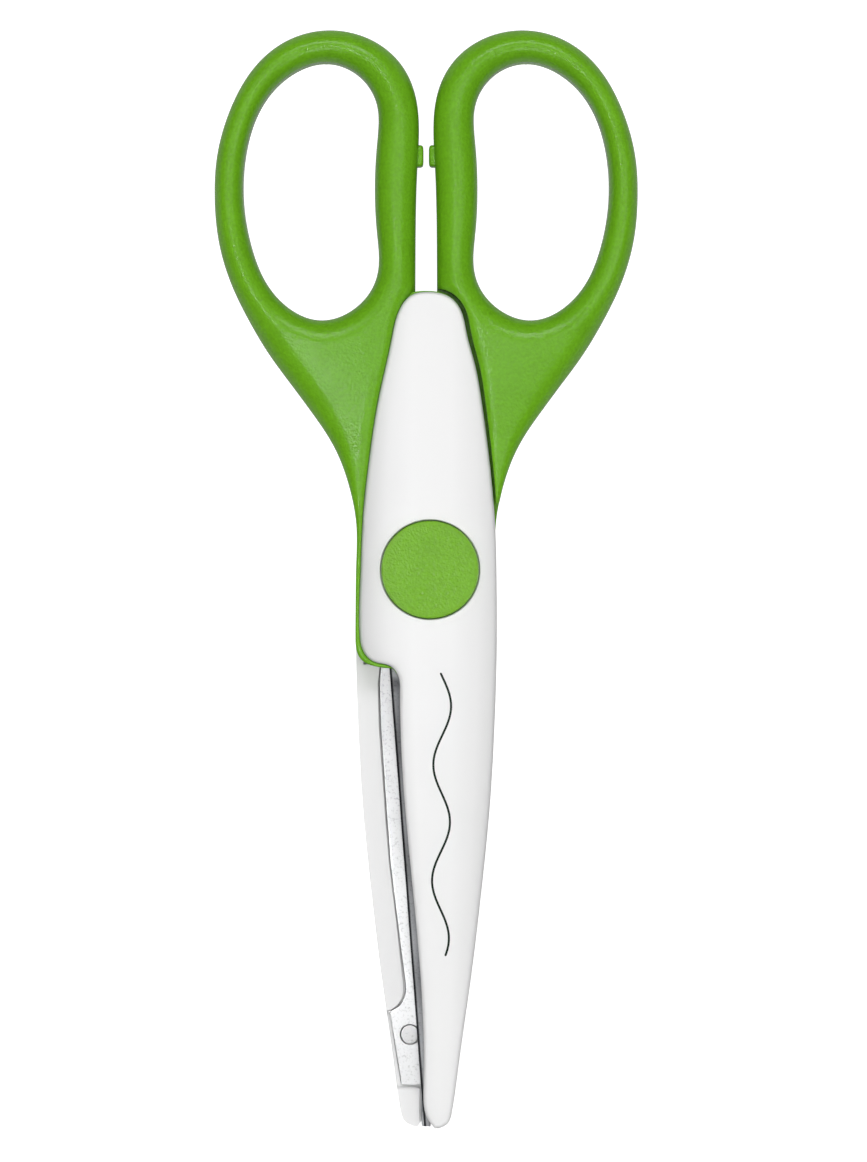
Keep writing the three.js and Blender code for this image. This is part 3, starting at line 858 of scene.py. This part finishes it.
def stud_shell():
    """The tip stud: a low dome with a rounded edge towards the other half."""
    dome, edge, face, sunk_end = 1.3, 0.13, 1.4, 3.3
    head = [(r, face + 0.01 * (r / dome) ** 2) for r in np.linspace(0, dome, 8)]
    rounded = [
        (dome + edge * math.sin(a), 1.54 - edge * math.cos(a))
        for a in np.linspace(0, np.pi / 2, 7)[1:]]
    return turned([*head, *rounded, (1.43, sunk_end), (0, sunk_end)], *TIP_STUD, sides=64)


def cap_shell():
    """The pivot cap: a flat disc with a steep slanted edge and a ring under it."""
    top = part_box("front_pivot_cap")[1][2] / MM - MID_PLANE
    radius, edge, slant = size("cap_radius"), 0.1, 0.2
    corner = radius - slant - edge
    rounded = [
        (corner + edge * math.cos(a), top - edge + edge * math.sin(a))
        for a in np.linspace(0.3, np.pi / 2, 8)]
    face = [(r, top) for r in np.linspace(corner, 0, 12)[1:]]
    under = [(0, 4.85), (5.5, 4.85), (5.5, 3.6), (6.3, 3.6), (6.3, 4.65), (radius, 4.65), (radius, 5.0)]
    return turned([*under, *rounded, *face], CAP_X, 0, sides=160)


# ---- finishes ----

def fill_ramp(elements, stops):
    """Sets a colour ramp to the given positions and colours, from left to right."""
    while len(elements) > 1:
        elements.remove(elements[-1])
    elements[0].position, elements[0].color = stops[0][0], (*stops[0][1], 1)
    for position, shade in stops[1:]:
        elements.new(position).color = (*shade, 1)


class Finish:
    """A material's nodes, added and linked in short calls."""

    def __init__(self, name):
        self.material = bpy.data.materials.new(name)
        self.material.use_nodes = True
        self.tree = self.material.node_tree
        self.shader = self.tree.nodes["Principled BSDF"]
        self.place = self.node("ShaderNodeTexCoord").outputs["Object"]

    def node(self, kind, **values):
        """A new node with the given settings."""
        made = self.tree.nodes.new(kind)
        for name, value in values.items():
            setattr(made, name, value)
        return made

    def link(self, output, target):
        self.tree.links.new(output, target)

    def into(self, socket, output):
        """Leads an output into one of the shader's sockets."""
        self.link(output, self.shader.inputs[socket])

    def put(self, **values):
        """Fixed values on the shader's own sockets."""
        for name, value in values.items():
            self.shader.inputs[name.replace("_", " ")].default_value = value

    def stretched(self, scale):
        """The piece's own coordinates, multiplied along each axis."""
        mapping = self.node("ShaderNodeMapping")
        mapping.inputs["Scale"].default_value = scale
        self.link(self.place, mapping.inputs["Vector"])
        return mapping.outputs["Vector"]

    def noise(self, scale, detail, rough=0.5, place=None):
        """Soft noise about 0.5, with more fine detail the rougher it is."""
        made = self.node("ShaderNodeTexNoise")
        made.inputs["Scale"].default_value = scale
        made.inputs["Detail"].default_value = detail
        made.inputs["Roughness"].default_value = rough
        self.link(place or self.place, made.inputs["Vector"])
        return made.outputs["Fac"]

    def cells(self, scale):
        """Distance to the middle of the nearest cell."""
        made = self.node("ShaderNodeTexVoronoi")
        made.inputs["Scale"].default_value = scale
        self.link(self.place, made.inputs["Vector"])
        return made.outputs["Distance"]

    def ranged(self, value, low, high, to_low, to_high):
        """The value carried from one range to another, and kept within it."""
        made = self.node("ShaderNodeMapRange")
        sockets = ("From Min", "From Max", "To Min", "To Max")
        for name, number in zip(sockets, (low, high, to_low, to_high)):
            made.inputs[name].default_value = number
        self.link(value, made.inputs["Value"])
        return made.outputs["Result"]

    def ramp(self, value, *stops):
        """A colour for the value, from (position, colour) stops."""
        made = self.node("ShaderNodeValToRGB")
        fill_ramp(made.color_ramp.elements, stops)
        self.link(value, made.inputs["Fac"])
        return made.outputs["Color"]

    def times(self, a, b):
        """Two colours multiplied."""
        made = self.node("ShaderNodeMix", data_type="RGBA", blend_type="MULTIPLY")
        factor, first, second = (made.inputs[k] for k in (0, 6, 7))
        factor.default_value = 1.0
        self.link(a, first)
        self.link(b, second)
        return made.outputs[2]

    def attribute(self, name):
        """The number kept for each point of the mesh."""
        return self.node("ShaderNodeAttribute", attribute_name=name).outputs["Fac"]

    def bump(self, height, strength, depth, after=None):
        """A normal tilted by the height's slope, on top of an earlier bump if there is one."""
        made = self.node("ShaderNodeBump")
        made.inputs["Strength"].default_value = strength
        made.inputs["Distance"].default_value = depth
        self.link(height, made.inputs["Height"])
        if after:
            self.link(after, made.inputs["Normal"])
        return made.outputs["Normal"]


def grey(value):
    """A colour with three equal parts."""
    return (value,) * 3


def shaded(base, factor):
    """The colour made lighter or darker."""
    return tuple(min(1.0, channel * factor) for channel in base)


def green_finish(name, base, grain):
    """Moulded green plastic: a fine eroded grain of the given depth, patches of slightly deeper colour
    and a satin gloss that changes with the grain."""
    gloss, change = 0.21, 0.04
    finish = Finish(name)
    fine = finish.noise(2300, detail=2, rough=0.6)
    patches = finish.ranged(finish.noise(180, detail=3), 0, 1, -0.2, 0.2)
    mottled = finish.node("ShaderNodeMath", operation="ADD")
    finish.link(fine, mottled.inputs[0])
    finish.link(patches, mottled.inputs[1])
    tone = finish.ramp(mottled.outputs[0], (0.3, shaded(base, 0.9)), (0.7, shaded(base, 1.1)))
    finish.into("Base Color", tone)
    finish.into("Roughness", finish.ranged(fine, 0.3, 0.75, gloss - change, gloss + change))
    pebbles = finish.cells(2600)
    normal = finish.bump(fine, strength=0.9, depth=grain)
    finish.into("Normal", finish.bump(pebbles, strength=0.5, depth=grain, after=normal))
    finish.put(IOR=1.46, Specular_IOR_Level=0.3)
    return finish.material


def white_finish(name, base):
    """Smooth satin white plastic with a faint waviness from the mould, and painted shade that makes it
    a little greyer towards the cover's sides and on its inside margin."""
    finish = Finish(name)
    # Painted shade: greyer the higher the stored value.
    tone = finish.ramp(finish.attribute("towards_side"), (0.3, base), (0.65, shaded(base, 0.93)),
                       (0.85, shaded(base, 0.85)), (1.0, shaded(base, 0.80)))
    finish.into("Base Color", tone)
    slow = finish.noise(240, detail=1)
    fine = finish.noise(3800, detail=2)
    finish.into("Roughness", finish.ranged(fine, 0.3, 0.7, 0.34, 0.42))
    normal = finish.bump(slow, strength=0.1, depth=4e-5)
    finish.into("Normal", finish.bump(fine, strength=0.06, depth=1.5e-5, after=normal))
    finish.put(IOR=1.47)
    return finish.material


def steel_finish(name, base, roughness, scratches, ground=False):
    """Ground and polished steel: long fine scratches along the blade, small pits and smudges. A ground
    blade is duller on its
    ground face and carries painted shade: a darker ground face, a painted shadow line nearly black
    right at the cutting edge, and painted shade that makes it greyer near the pivot than near the tip."""
    finish = Finish(name)
    brushed = finish.noise(1.0, detail=4, rough=0.7, place=finish.stretched((9000, 260, 9000)))
    pits = finish.noise(2600, detail=3, rough=0.7)
    smudge = finish.noise(420, detail=3)
    tone = finish.ramp(pits, (0.34, shaded(base, 0.72)), (0.45, base))
    dull = finish.ranged(smudge, 0.3, 0.7, roughness - 0.06, roughness + 0.06)
    if ground:
        edge = finish.attribute("from_edge")
        # Painted shade: a nearly black painted shadow line at the cutting edge, then a darker ground
        # face, also on the narrow strip past the plate.
        shade = finish.ramp(
            edge, (0.0, (0.06, 0.06, 0.07)), (0.09, (0.09, 0.09, 0.10)), (0.135, (0.95, 0.96, 0.98)),
            (0.45, (0.66, 0.67, 0.70)), (0.9, (0.55, 0.56, 0.58)), (0.99, grey(1.0)))
        # Painted shade: darker near the pivot than near the tip.
        split = finish.node("ShaderNodeSeparateXYZ")
        finish.link(finish.place, split.inputs["Vector"])
        along = finish.ranged(split.outputs["Y"], -0.065, -0.012, 1, 0)
        painted_pivot_shade = finish.ramp(along, (0.0, grey(0.55)), (0.5, grey(0.72)), (0.9, grey(0.98)))
        tone = finish.times(finish.times(tone, shade), painted_pivot_shade)
        dull = finish.ramp(edge, (0.0, grey(0.6)), (0.9, grey(0.55)), (0.99, grey(roughness)))
    finish.into("Base Color", tone)
    finish.into("Roughness", dull)
    normal = finish.bump(brushed, strength=scratches, depth=1.2e-5)
    finish.into("Normal", finish.bump(pits, strength=0.22, depth=2e-5, after=normal))
    finish.put(Metallic=1.0)
    return finish.material


def ink_finish(name, base):
    """Thin printed ink with a slightly uneven gloss."""
    finish = Finish(name)
    uneven = finish.noise(2500, detail=2)
    finish.into("Base Color", finish.ramp(uneven, (0.3, shaded(base, 0.8)), (0.7, shaded(base, 1.3))))
    finish.into("Roughness", finish.ranged(uneven, 0.3, 0.7, 0.45, 0.6))
    finish.put(Specular_IOR_Level=0.2)
    return finish.material


def nylon_finish(name):
    """Plain nylon, very slightly uneven."""
    finish = Finish(name)
    tone = finish.noise(900, detail=2)
    finish.into("Base Color", finish.ramp(tone, (0.3, (0.70, 0.68, 0.62)), (0.7, (0.80, 0.78, 0.72))))
    finish.into("Normal", finish.bump(tone, strength=0.1, depth=2e-5))
    finish.put(Roughness=0.55)
    return finish.material


# ---- stage ----

LIGHTS = [
    # name, place in metres, width, depth, power in watts
    ("top_strip", (0.01, 0.0, 0.95), 0.11, 1.1, 1.4),
    ("back_box", (0.0, 0.62, 0.8), 0.6, 0.3, 3.7),
    ("front_box", (0.05, -0.62, 0.8), 0.6, 0.3, 2.9),
    ("key_box", (-0.5, 0.3, 0.75), 0.4, 0.4, 0.4),
    ("fill_box", (0.55, 0.0, 0.75), 0.4, 0.4, 0.8),
    ("glint_disc", (-0.10, -0.02, 0.45), 0.035, 0.035, 0.22),
]


def make_floor():
    """A wide pale floor, a grid of four corners just under the scissors."""
    reach, under = 3.0, -1e-4
    mesh = bpy.data.meshes.new("floor")
    corners = [(-reach, -reach), (reach, -reach), (reach, reach), (-reach, reach)]
    mesh.from_pydata([(*corner, under) for corner in corners], [], [(0, 1, 2, 3)])
    floor = bpy.data.objects.new("floor", mesh)
    bpy.context.scene.collection.objects.link(floor)
    finish = Finish("floor_paper")
    base = colour("floor")
    tone = finish.ramp(finish.noise(2, detail=2), (0.3, shaded(base, 0.99)), (0.7, base))
    finish.into("Base Color", tone)
    seen = finish.node("ShaderNodeLightPath").outputs["Is Camera Ray"]
    finish.into("Emission Strength", finish.ranged(seen, 0, 1, 0.12, 1.0))
    finish.put(Roughness=0.9, Emission_Color=(1, 1, 1, 1))
    mesh.materials.append(finish.material)


def make_sky():
    """Soft light from all round, brightest overhead and dimmer towards the horizon, and pale where the
    camera sees it beyond the floor."""
    world = bpy.data.worlds.new("studio")
    bpy.context.scene.world = world
    world.use_nodes = True
    nodes, links = world.node_tree.nodes, world.node_tree.links
    back = nodes["Background"]
    coordinates = nodes.new("ShaderNodeTexCoord")
    split = nodes.new("ShaderNodeSeparateXYZ")
    ramp = nodes.new("ShaderNodeValToRGB")
    links.new(coordinates.outputs["Generated"], split.inputs["Vector"])
    links.new(split.outputs["Z"], ramp.inputs["Fac"])
    fill_ramp(ramp.color_ramp.elements, [
        (0.0, grey(0.06)), (0.5, grey(0.13)), (0.8, grey(0.3)), (1.0, grey(0.45)),
    ])
    plain = nodes.new("ShaderNodeBackground")
    plain.inputs["Color"].default_value = (0.93, 0.93, 0.93, 1)
    path = nodes.new("ShaderNodeLightPath")
    mix = nodes.new("ShaderNodeMixShader")
    links.new(ramp.outputs["Color"], back.inputs["Color"])
    links.new(path.outputs["Is Camera Ray"], mix.inputs["Fac"])
    links.new(back.outputs["Background"], mix.inputs[1])
    links.new(plain.outputs["Background"], mix.inputs[2])
    links.new(mix.outputs["Shader"], nodes["World Output"].inputs["Surface"])


def aim(place, target):
    """Rotation that points an object's -Z axis from place to target."""
    return (Vector(target) - Vector(place)).to_track_quat("-Z", "Y").to_euler()


def make_light(name, place, width, depth, power):
    """A soft box aimed at the pivot, which the camera doesn't see."""
    lamp = bpy.data.lights.new(name, "AREA")
    lamp.shape, lamp.size, lamp.size_y, lamp.energy = "RECTANGLE", width, depth, power
    light = bpy.data.objects.new(name, lamp)
    bpy.context.scene.collection.objects.link(light)
    light.location = place
    light.rotation_euler = aim(place, (0, 0, 0))
    light.visible_camera = False


def make_camera():
    """A long lens straight above, with the loops at the top of the picture."""
    lens = bpy.data.cameras.new("camera")
    lens.lens, lens.sensor_width = 200, 36
    camera = bpy.data.objects.new("camera", lens)
    bpy.context.scene.collection.objects.link(camera)
    camera.location = (0.0011, -0.0017, MID_PLANE * MM + 0.971)
    lens.clip_start, lens.clip_end = 0.05, 20
    bpy.context.scene.camera = camera
    bpy.context.scene.view_settings.view_transform = "Standard"


# ---- operators ----

class SCISSORS_OT_handles(bpy.types.Operator):
    """Builds the two moulded handles: loop, web, rim, tang and closing stop."""

    bl_idname = "scissors.handles"
    bl_label = "Handles"

    def execute(self, context):
        lines = Outlines()
        shells = [handle_slab(lines), handle_rim(lines), tang_plate(lines), stop_bump()]
        green = green_finish("green_plastic", colour("green"), 5.5e-5)
        for side in SIDES:
            dress(build(side + "_loop_handle", shells, side), green, side, "handle", "handle")
        return {"FINISHED"}


class SCISSORS_OT_covers(bpy.types.Operator):
    """Builds the two long white covers and the wave printed on the front one."""

    bl_idname = "scissors.covers"
    bl_label = "Covers"

    def execute(self, context):
        shells = [cover_shell(Outlines())]
        white = white_finish("white_plastic", colour("white"))
        for side in SIDES:
            cover = build(side + "_blade_cover", shells, side)
            cut(cover, cap_bore(), side)
            paint_side_shade(cover, side)
            dress(cover, white, side, "cover", "cover")
        wave = build("front_printed_wave", [printed_wave()], "front")
        dress(wave, ink_finish("printed_line", colour("print_ink")), "front", "cover")
        return {"FINISHED"}


class SCISSORS_OT_blades(bpy.types.Operator):
    """Builds the two wavy blades and the studs near their tips."""

    bl_idname = "scissors.blades"
    bl_label = "Blades"

    def execute(self, context):
        steel = steel_finish("ground_steel", colour("steel"), 0.33, 0.5, ground=True)
        stud = steel_finish("stud_metal", colour("stud"), 0.4, 0.2)
        hole = turned([(0, -2), (1.58, -2), (1.58, 5), (0, 5)], *TIP_STUD, sides=64)
        for side in SIDES:
            blade = build(side + "_wave_blade", [blade_shell(TURN[side])], side)
            cut(blade, hole, side)
            mark_ground_face(blade, side)
            dress(blade, steel, side, "blade", "blade")
            dress(build(side + "_tip_rivet", [stud_shell()], side), stud, side, "stud", "tip_stud")
        return {"FINISHED"}


class SCISSORS_OT_caps(bpy.types.Operator):
    """Builds the two round caps over the pivot."""

    bl_idname = "scissors.caps"
    bl_label = "Pivot caps"

    def execute(self, context):
        green = green_finish("cap_plastic", colour("cap_green"), 6e-5)
        for side in SIDES:
            disc = build(side + "_pivot_disc", [cap_shell()], side)
            dress(disc, green, side, "pivot_cap", "pivot_cap")
        return {"FINISHED"}


class SCISSORS_OT_hardware(bpy.types.Operator):
    """Gives the screw, nut, sleeve, washers and root studs their finishes."""

    bl_idname = "scissors.hardware"
    bl_label = "Pivot hardware"

    def execute(self, context):
        zinc = steel_finish("zinc_plate", (0.60, 0.60, 0.62), 0.35, 0.3)
        nylon = nylon_finish("nylon_washer")
        for name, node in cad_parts.items():
            if name.startswith(("pivot_", "head_", "spring_")) or "_root_stud" in name:
                paint(node, zinc)
            elif name == "friction_washer":
                paint(node, nylon)
        return {"FINISHED"}


class SCISSORS_OT_stage(bpy.types.Operator):
    """Makes the floor, the soft lights, the sky and the camera straight above."""

    bl_idname = "scissors.stage"
    bl_label = "Stage"

    def execute(self, context):
        make_floor()
        make_sky()
        for name, place, width, depth, power in LIGHTS:
            make_light(name, place, width, depth, power)
        make_camera()
        return {"FINISHED"}


class SCISSORS_PT_panel(bpy.types.Panel):
    """Lists the scissors' pieces and settings."""

    bl_idname = "SCISSORS_PT_panel"
    bl_label = "Wave edge scissors"
    bl_space_type = "VIEW_3D"
    bl_region_type = "UI"
    bl_category = "Scissors"

    def draw(self, context):
        for operator in STEPS:
            self.layout.operator(operator.bl_idname)
        for group in (context.scene.scissor_sizes, context.scene.scissor_colours):
            for name in group.bl_rna.properties.keys():
                if name not in ("rna_type", "name"):
                    self.layout.prop(group, name)


STEPS = (
    SCISSORS_OT_handles, SCISSORS_OT_covers, SCISSORS_OT_blades, SCISSORS_OT_caps, SCISSORS_OT_hardware,
    SCISSORS_OT_stage,
)
CLASSES = (ScissorSizes, ScissorColours, *STEPS, SCISSORS_PT_panel)


def register():
    for item in CLASSES:
        bpy.utils.register_class(item)
    bpy.types.Scene.scissor_sizes = PointerProperty(type=ScissorSizes)
    bpy.types.Scene.scissor_colours = PointerProperty(type=ScissorColours)


def unregister():
    del bpy.types.Scene.scissor_sizes
    del bpy.types.Scene.scissor_colours
    for item in reversed(CLASSES):
        bpy.utils.unregister_class(item)


def main():
    register()
    for step in STEPS:
        group, name = step.bl_idname.split(".")
        getattr(getattr(bpy.ops, group), name)()


if __name__ == "__main__":
    main()
